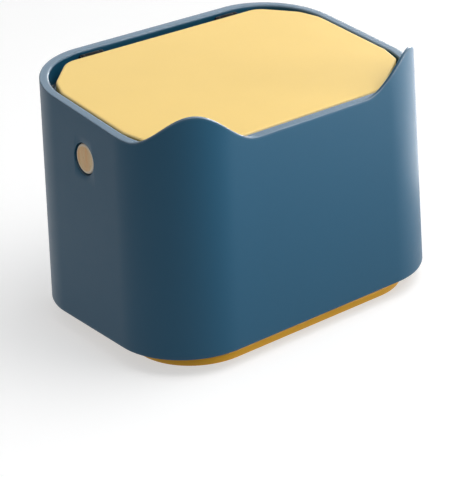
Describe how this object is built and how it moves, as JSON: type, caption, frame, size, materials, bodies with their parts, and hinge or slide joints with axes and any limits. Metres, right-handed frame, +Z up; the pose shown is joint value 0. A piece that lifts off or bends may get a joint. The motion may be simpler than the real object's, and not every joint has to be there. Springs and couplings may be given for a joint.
{
  "type": "lidded litter bin",
  "caption": "Table or floor litter bin: drafted sleeve with ear-shaped front corners and a sloping rim, flush hinged lid, lift-off sleeve over an inner bucket.",
  "frame": {"origin": "centre of the outline on the floor, under the bucket", "axes": "+X along the width to the bin's left hand button side, +Y to the hinge side, +Z up; the ears are at -Y"},
  "size_m": [0.32, 0.229, 0.2261],
  "materials": {
    "shell_blue": "satin moulded plastic, slate blue",
    "frame_blue": "moulded plastic, dark slate blue",
    "rail_grey": "moulded plastic, grey blue",
    "lid_yellow": "matt moulded plastic, pale yellow",
    "liner_yellow": "matt moulded plastic, deep yellow",
    "bucket_yellow": "moulded plastic, golden yellow",
    "hinge_dark": "glass-filled plastic, near black",
    "steel": "zinc-plated steel",
    "beech": "oiled light wood",
    "rubber": "soft rubber"
  },
  "bodies": {
    "bucket": {"inner_bucket": "bucket_yellow"},
    "sleeve": {"bracket_screws": "steel", "frame_screws": "steel", "friction_washers": "steel", "hinge_bracket_left": "hinge_dark", "hinge_bracket_right": "hinge_dark", "hinge_pin_left": "steel", "hinge_pin_right": "steel", "hinge_rail": "rail_grey", "knob_screws": "steel", "knob_washers": "steel", "outer_shell": "shell_blue", "pin_clips": "steel", "rail_screws": "steel", "seat_frame": "frame_blue", "side_knob_left": "beech", "side_knob_right": "beech"},
    "lid": {"lid_panel": "lid_yellow", "lid_liner": "liner_yellow", "lid_bumpers": "rubber", "hinge_leaf_left": "hinge_dark", "hinge_leaf_right": "hinge_dark", "leaf_screws": "steel"}
  },
  "joints": [
    {"name": "sleeve_lift", "type": "slide", "parent": "bucket", "child": "sleeve", "axis": [0, 0, 1], "range_m": [0, 0.22]},
    {"name": "lid_hinge", "type": "hinge", "parent": "sleeve", "child": "lid", "pos_m": [0, 0.09867, 0.21839], "axis": [-1, 0, 0], "range_deg": [0, 95]}
  ]
}
